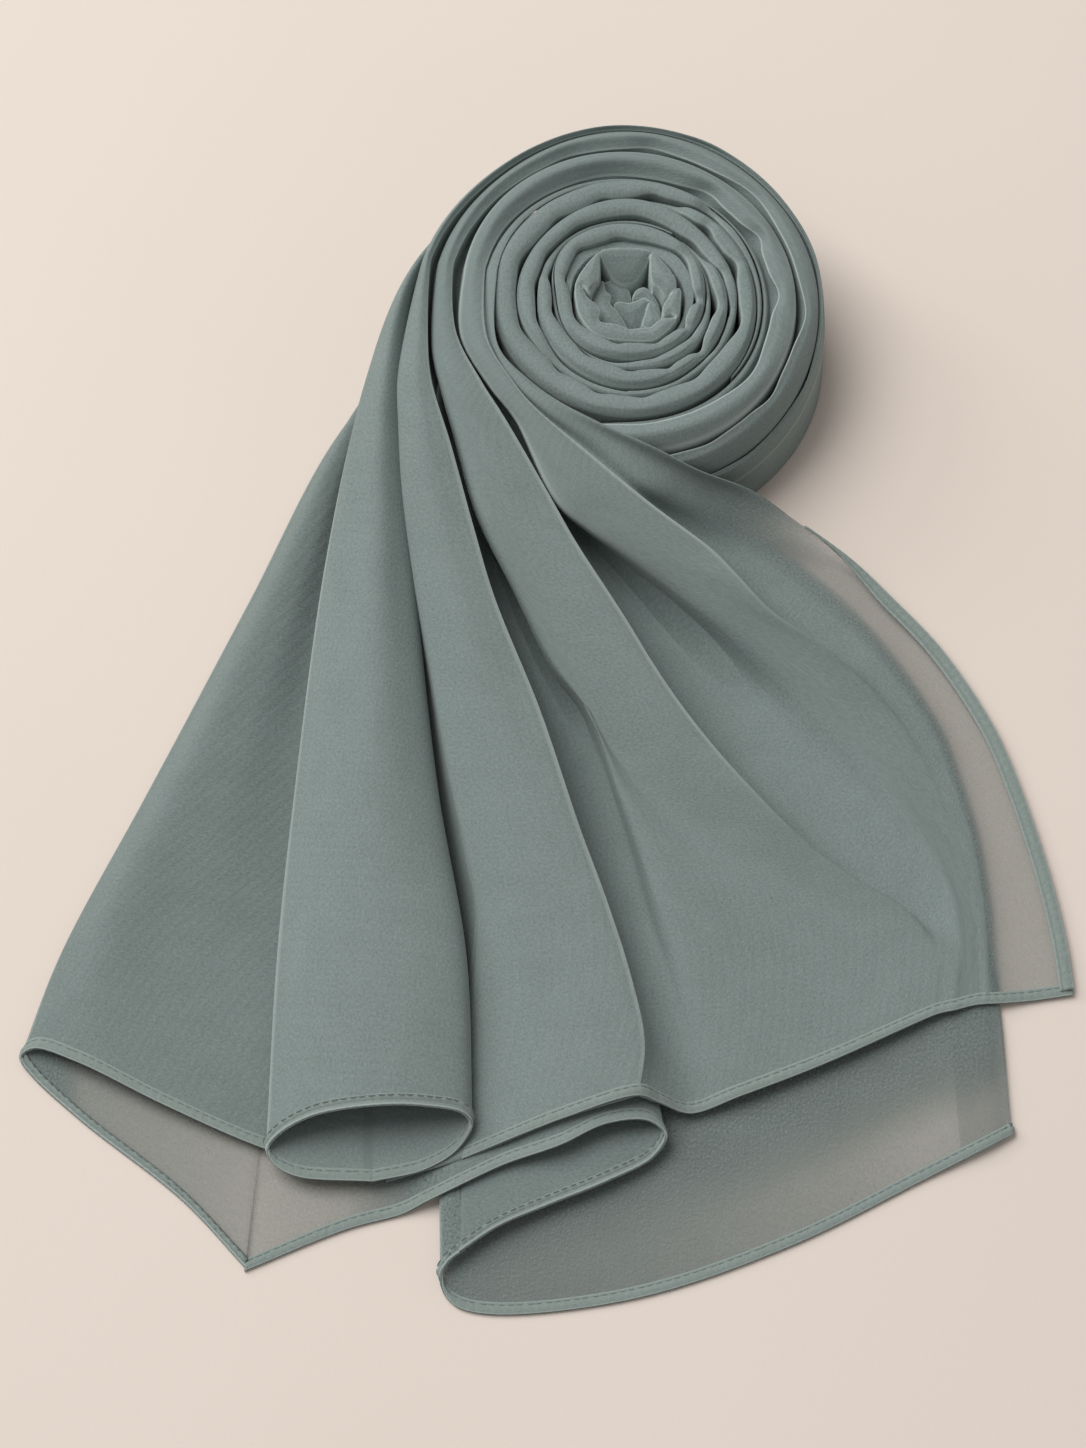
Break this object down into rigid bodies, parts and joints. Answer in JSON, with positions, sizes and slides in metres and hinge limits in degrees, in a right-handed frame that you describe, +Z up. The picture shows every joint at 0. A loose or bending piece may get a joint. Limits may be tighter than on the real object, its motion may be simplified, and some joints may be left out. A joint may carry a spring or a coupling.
{
  "type": "headscarf",
  "caption": "Chiffon headscarf laid flat, one end wound into a standing roll, the other end fanned out in soft pleats with a narrow stitched hem.",
  "frame": {"origin": "on the surface under the middle of the laid scarf's bounding box", "axes": "+Z up from the surface, +Y from the pleated end towards the roll, +X to the right as seen from the pleated end"},
  "size_m": [0.2538, 0.3052, 0.0355],
  "materials": {
    "chiffon": "matt, slightly see-through sage grey chiffon",
    "hem": "matt turned hem in the same cloth, three plies"
  },
  "bodies": {
    "root": {"roll_core": "chiffon", "roll_inner_turns": "chiffon", "roll_outer_turns": "chiffon", "fan_centre_panel": "chiffon", "fan_tube_pleat": "chiffon", "fan_left_panel": "chiffon", "lower_fold_upper": "chiffon", "lower_fold_bottom": "chiffon", "hidden_pleats": "chiffon", "hem_centre_panel": "hem", "hem_tube_pleat": "hem", "hem_left_panel": "hem", "hem_fold_upper": "hem", "hem_fold_bottom": "hem"}
  },
  "joints": []
}
